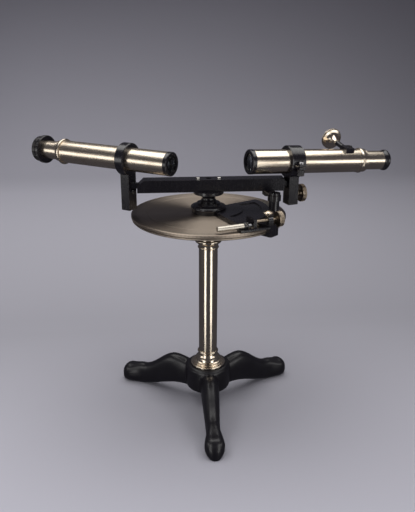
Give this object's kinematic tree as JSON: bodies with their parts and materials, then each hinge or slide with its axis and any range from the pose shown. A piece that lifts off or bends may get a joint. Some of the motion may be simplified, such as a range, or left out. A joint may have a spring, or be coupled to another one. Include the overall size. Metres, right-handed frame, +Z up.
{
  "type": "optical goniometer",
  "caption": "Antique brass and black optical goniometer: a divided circle on a pillar and tripod, with a turning beam that carries a collimator and a focusing telescope.",
  "frame": {"origin": "centre of the divided circle's top face, on the main axis, inside the spindle's socket", "axes": "+Z up along the main axis, +X along the beam towards the telescope"},
  "size_m": [0.4265, 0.2156, 0.337],
  "materials": {
    "black_iron": "glossy black lacquer",
    "lacquered_brass": "polished, clear lacquer",
    "circle_brass": "satin, aged",
    "steel": "bright",
    "black_lacquer": "glossy black lacquer",
    "silvered_metal": "silvered, satin",
    "glass": "clear"
  },
  "bodies": {
    "stand": {"tripod_base": "black_iron", "pillar_foot": "lacquered_brass", "pillar_tube": "lacquered_brass", "pillar_capital": "lacquered_brass", "tie_rod": "steel", "tie_rod_nut": "steel", "divided_circle": "circle_brass", "circle_screws": "steel", "centre_spindle": "steel", "spindle_washer": "steel"},
    "arm": {"vernier_hub": "black_lacquer", "beam_flange": "black_lacquer", "beam": "black_lacquer", "beam_screws": "steel", "vernier_plate": "black_lacquer", "vernier_scale": "silvered_metal", "collimator_pivot_pin": "steel", "telescope_pivot_pin": "steel"},
    "rim_clamp": {"clamp_block": "black_lacquer", "clamp_shoe": "lacquered_brass", "clamp_bridge": "black_lacquer", "spring_barrel": "silvered_metal"},
    "clamp_screw": {"clamp_screw": "lacquered_brass"},
    "tangent_screw": {"tangent_screw": "lacquered_brass"},
    "plunger": {"spring_plunger": "steel", "barrel_spring": "steel"},
    "reader": {"reader_bracket": "black_lacquer", "reader_tube": "black_lacquer", "reader_lens": "glass"},
    "reader_screw": {"reader_thumb_screw": "black_lacquer"},
    "collimator": {"collimator_bracket": "black_lacquer", "collimator_set_screw": "steel", "collimator_tube": "lacquered_brass", "collimator_lens_cell": "black_lacquer", "collimator_lens": "glass", "collimator_collar": "lacquered_brass"},
    "slit": {"slit_tube": "lacquered_brass", "slit_head": "black_lacquer", "slit_cap": "black_lacquer"},
    "slit_ring": {"slit_ring": "black_lacquer"},
    "slit_jaw": {"slit_jaw": "steel"},
    "telescope_holder": {"telescope_bracket": "black_lacquer", "telescope_ring_nut": "steel"},
    "ring_screw": {"telescope_ring_screw": "black_lacquer"},
    "swivel_knob": {"swivel_knob": "lacquered_brass"},
    "telescope": {"telescope_tube": "lacquered_brass", "objective_cell": "black_lacquer", "objective_lens": "glass", "telescope_end_ring": "lacquered_brass", "pinion_box": "black_lacquer", "box_screw": "black_lacquer"},
    "pinion": {"focus_pinion": "steel", "focus_knob": "lacquered_brass"},
    "draw_tube": {"draw_tube": "lacquered_brass", "focus_rack": "steel", "reticle_ring": "lacquered_brass"},
    "eyepiece": {"eyepiece_tube": "black_lacquer", "field_lens": "glass", "eye_lens": "glass", "eyepiece_cap": "black_lacquer"}
  },
  "joints": [
    {"name": "arm_turn", "type": "hinge", "parent": "stand", "child": "arm", "pos_m": [0, 0, 0], "axis": [0, 0, 1], "continuous": true},
    {"name": "clamp_fine", "type": "hinge", "parent": "arm", "child": "rim_clamp", "pos_m": [0, 0, 0], "axis": [0, 0, 1], "range_deg": [-0.8, 0.8]},
    {"name": "clamp_screw_turn", "type": "hinge", "parent": "rim_clamp", "child": "clamp_screw", "pos_m": [0.05808, -0.06097, 0.0125], "axis": [0, 0, 1], "continuous": true},
    {"name": "tangent_screw_slide", "type": "slide", "parent": "rim_clamp", "child": "tangent_screw", "axis": [0.9489, 0.3156, 0], "range_m": [-0.00118, 0.00118]},
    {"name": "plunger_slide", "type": "slide", "parent": "rim_clamp", "child": "plunger", "axis": [0.9489, 0.3156, 0], "range_m": [-0.00118, 0.00118]},
    {"name": "reader_swivel", "type": "hinge", "parent": "arm", "child": "reader", "pos_m": [0.069, 0, 0.024], "axis": [0, 0, 1], "range_deg": [-20, 20]},
    {"name": "reader_screw_turn", "type": "hinge", "parent": "arm", "child": "reader_screw", "pos_m": [0.069, 0, 0.02], "axis": [0, 0, 1], "continuous": true},
    {"name": "collimator_swivel", "type": "hinge", "parent": "arm", "child": "collimator", "pos_m": [-0.0905, 0, 0.032], "axis": [0, 0, 1], "range_deg": [-35, 35]},
    {"name": "slit_draw", "type": "slide", "parent": "collimator", "child": "slit", "axis": [-0.8271, 0.5621, 0], "range_m": [-0.018, 0.012]},
    {"name": "slit_ring_turn", "type": "hinge", "parent": "slit", "child": "slit_ring", "pos_m": [-0.19471, 0.07082, 0.06255], "axis": [-0.8271, 0.5621, 0], "range_deg": [-20, 90]},
    {"name": "slit_jaw_slide", "type": "slide", "parent": "slit", "child": "slit_jaw", "axis": [0.5621, 0.8271, 0], "range_m": [-0.00016, 0.00064]},
    {"name": "telescope_swivel", "type": "hinge", "parent": "arm", "child": "telescope_holder", "pos_m": [0.0955, 0, 0.032], "axis": [0, 0, 1], "range_deg": [-35, 35]},
    {"name": "ring_screw_turn", "type": "hinge", "parent": "telescope_holder", "child": "ring_screw", "pos_m": [0.10106, -0.02088, 0.04931], "axis": [0.0536, 0.0155, 0.9984], "continuous": true},
    {"name": "swivel_knob_turn", "type": "hinge", "parent": "telescope_holder", "child": "swivel_knob", "pos_m": [0.10703, 0.00333, 0.0195], "axis": [0.9608, 0.2773, 0], "continuous": true},
    {"name": "telescope_roll", "type": "hinge", "parent": "telescope_holder", "child": "telescope", "pos_m": [0.0955, 0, 0.0573], "axis": [0.9593, 0.2769, -0.0558], "range_deg": [-30, 30]},
    {"name": "focus_slide", "type": "slide", "parent": "telescope", "child": "draw_tube", "axis": [0.9593, 0.2769, -0.0558], "range_m": [-0.003, 0.009]},
    {"name": "pinion_turn", "type": "hinge", "parent": "telescope", "child": "pinion", "pos_m": [0.16317, 0.01663, 0.06653], "axis": [-0.2601, 0.943, 0.2076], "range_deg": [-210, 70]},
    {"name": "eyepiece_slide", "type": "slide", "parent": "draw_tube", "child": "eyepiece", "axis": [0.9593, 0.2769, -0.0558], "range_m": [0, 0.012]}
  ],
  "couplings": [
    {"joint": "pinion_turn", "follows": "focus_slide", "rad_per_m": -400},
    {"joint": "tangent_screw_slide", "follows": "clamp_fine", "m_per_rad": -0.0817},
    {"joint": "plunger_slide", "follows": "clamp_fine", "m_per_rad": -0.0817},
    {"joint": "slit_jaw_slide", "follows": "slit_ring_turn", "m_per_rad": 0.0004}
  ]
}
